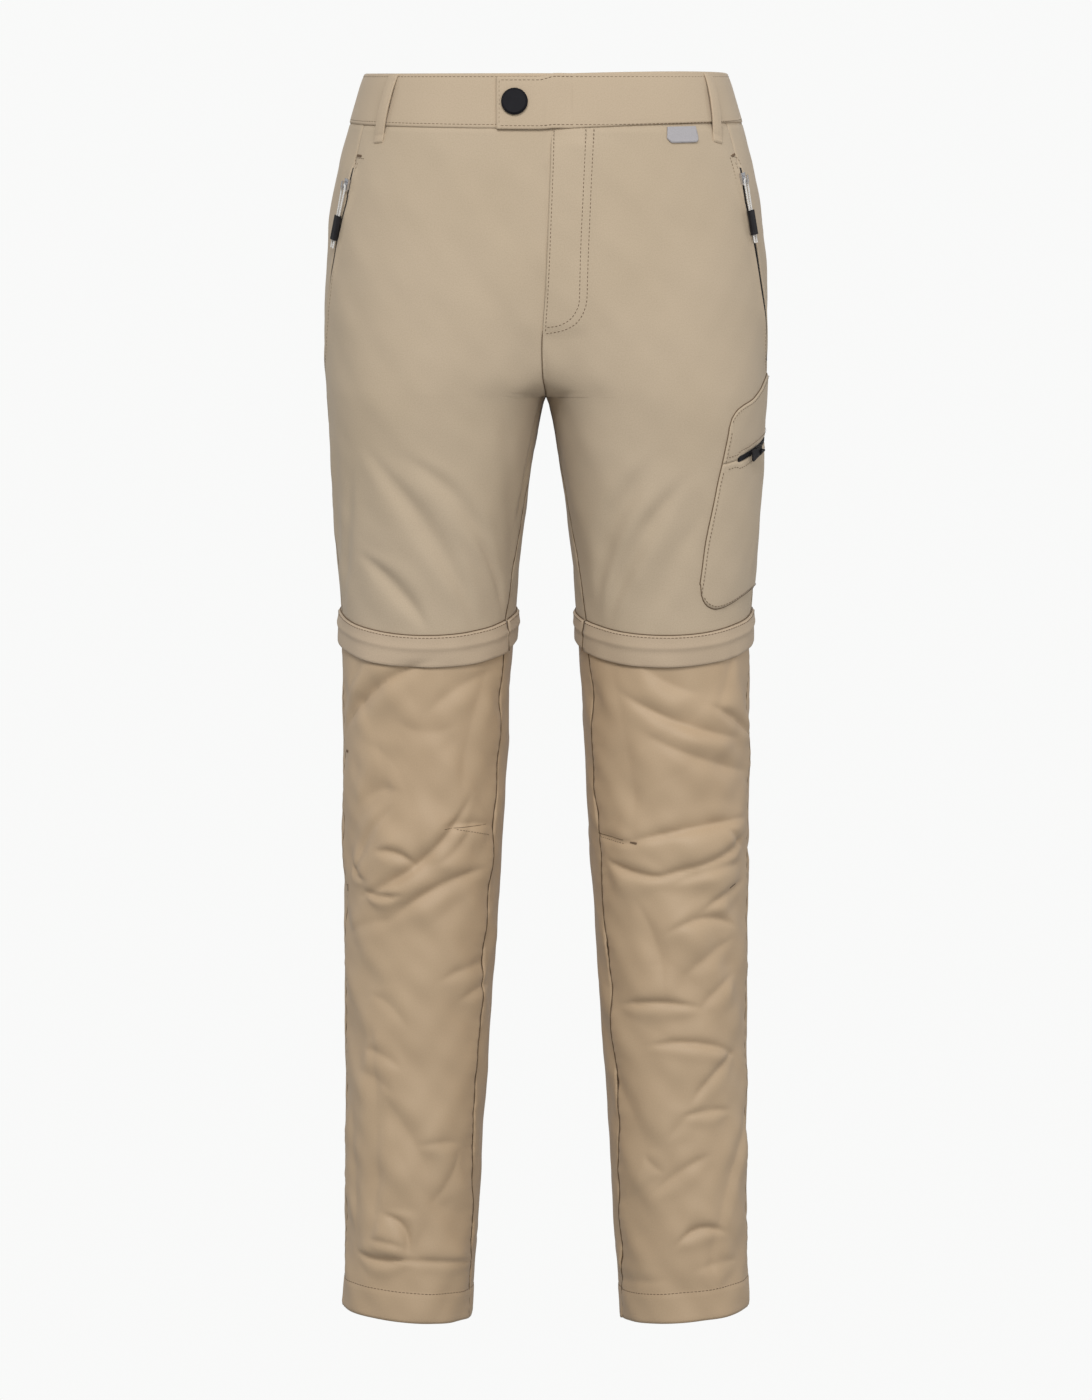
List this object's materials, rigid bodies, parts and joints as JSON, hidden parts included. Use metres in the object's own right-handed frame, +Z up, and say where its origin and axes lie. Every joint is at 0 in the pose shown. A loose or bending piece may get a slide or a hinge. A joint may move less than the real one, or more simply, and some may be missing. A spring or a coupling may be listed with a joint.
{
  "type": "hiking trousers",
  "caption": "Hollow, filled-out hiking trousers with zip-off lower legs, zipped front pockets and a thigh pocket, standing as worn with no wearer.",
  "frame": {"origin": "centre of the waist ring, at mid height of the waistband at its sides, where the wearer's waist holds the trousers", "axes": "+Z up along the body, -Y out of the front, +X towards the wearer's left"},
  "size_m": [0.3837, 0.2706, 1.0867],
  "materials": {
    "cloth": "matt stretch-woven cloth",
    "cloth_lower": "crisp woven nylon, slightly shiny",
    "zip_black": "woven tape and moulded coil",
    "metal": "bright plated",
    "cord_white": "braided",
    "grip_black": "soft moulded",
    "button_black": "satin moulded",
    "label_grey": "matt woven tab, blank"
  },
  "bodies": {
    "trousers": {"thigh_front_right": "cloth", "thigh_front_left": "cloth", "thigh_back_right": "cloth", "thigh_back_left": "cloth", "pocket_side_right": "cloth", "pocket_side_left": "cloth", "waistband_front_left": "cloth", "waistband_front_right": "cloth", "waistband_back": "cloth", "fly_shield": "cloth", "belt_loop_front_right": "cloth", "belt_loop_front_left": "cloth", "belt_loop_back_right": "cloth", "belt_loop_back_left": "cloth", "belt_loop_back_centre": "cloth", "cargo_yoke": "cloth", "cargo_pouch": "cloth", "shin_front_right": "cloth_lower", "shin_front_left": "cloth_lower", "shin_back_right": "cloth_lower", "shin_back_left": "cloth_lower", "knee_flap_right": "cloth_lower", "knee_flap_left": "cloth_lower", "knee_zip_right": "zip_black", "knee_zip_left": "zip_black", "pocket_zip_right": "zip_black", "pocket_zip_left": "zip_black", "cargo_zip": "zip_black", "cargo_slider": "zip_black", "pocket_slider_right": "metal", "pocket_slider_left": "metal", "snap_button": "button_black", "label_tab": "label_grey"},
    "pull_right": {"pull_cord_right": "cord_white", "pull_grip_right": "grip_black"},
    "pull_left": {"pull_cord_left": "cord_white", "pull_grip_left": "grip_black"},
    "cargo_tab": {"cargo_pull": "grip_black"}
  },
  "joints": [
    {"name": "pull_right_swing", "type": "hinge", "parent": "trousers", "child": "pull_right", "pos_m": [-0.17143, -0.05745, -0.07713], "axis": [-0.4806, 0.8424, 0.2437], "range_deg": [0, 150]},
    {"name": "pull_left_swing", "type": "hinge", "parent": "trousers", "child": "pull_left", "pos_m": [0.16929, -0.05922, -0.07212], "axis": [-0.5177, -0.841, -0.1574], "range_deg": [0, 150]},
    {"name": "cargo_tab_swing", "type": "hinge", "parent": "trousers", "child": "cargo_tab", "pos_m": [0.1836, -0.05045, -0.30272], "axis": [-0.0393, -0.2758, 0.9604], "range_deg": [0, 150]}
  ]
}
